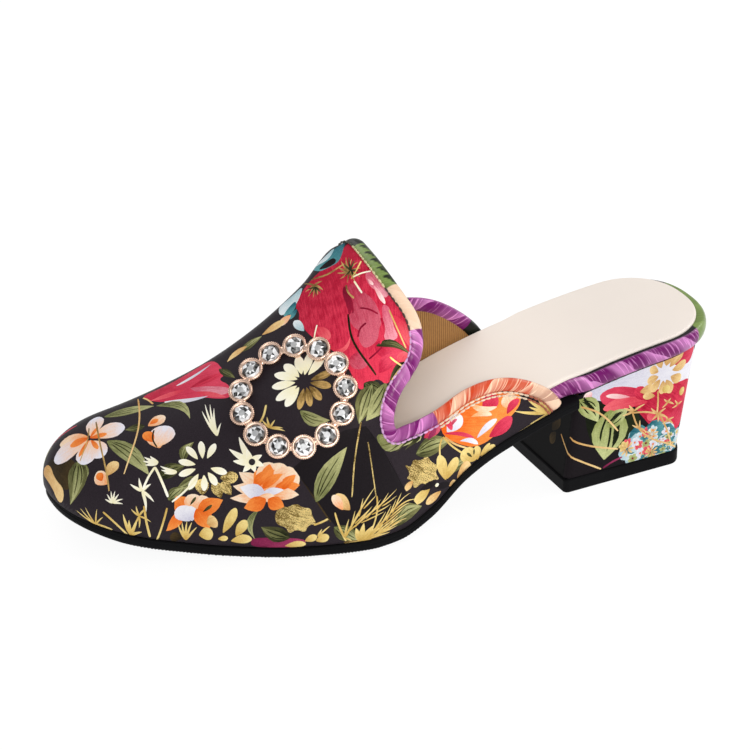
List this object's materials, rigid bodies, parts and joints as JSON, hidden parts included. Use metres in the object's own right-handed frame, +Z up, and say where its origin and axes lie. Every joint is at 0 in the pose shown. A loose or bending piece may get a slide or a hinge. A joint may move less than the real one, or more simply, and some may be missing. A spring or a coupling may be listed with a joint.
{
  "type": "closed toe slipper",
  "caption": "Women's left closed-toe backless slip-on with a covered block heel, printed satin upper, rolled collar binding and a ring of set crystals.",
  "frame": {"origin": "centre of the bounding box on the floor plane, under the shank", "axes": "+X from heel to toe, +Y to the outer (lateral) side of this left shoe, +Z up"},
  "size_m": [0.249, 0.0864, 0.0947],
  "materials": {
    "print_satin": "satin with a printed and foiled floral pattern",
    "binding_satin": "satin, rolled and stitched",
    "footbed_wrap": "satin, wrapped round the edge",
    "insole_cover": "smooth, matt",
    "sole_rubber": "matt",
    "rose_gold": "polished rose-gold plating",
    "crystal": "clear, faceted, foiled behind"
  },
  "bodies": {
    "root": {"upper": "print_satin", "collar_binding": "binding_satin", "outsole": "sole_rubber", "heel_block": "print_satin", "top_lift": "sole_rubber", "footbed": "footbed_wrap", "insole": "insole_cover", "ornament_frame": "rose_gold", "stone_01": "crystal", "stone_02": "crystal", "stone_03": "crystal", "stone_04": "crystal", "stone_05": "crystal", "stone_06": "crystal", "stone_07": "crystal", "stone_08": "crystal", "stone_09": "crystal", "stone_10": "crystal", "stone_11": "crystal", "stone_12": "crystal", "stone_13": "crystal"}
  },
  "joints": []
}
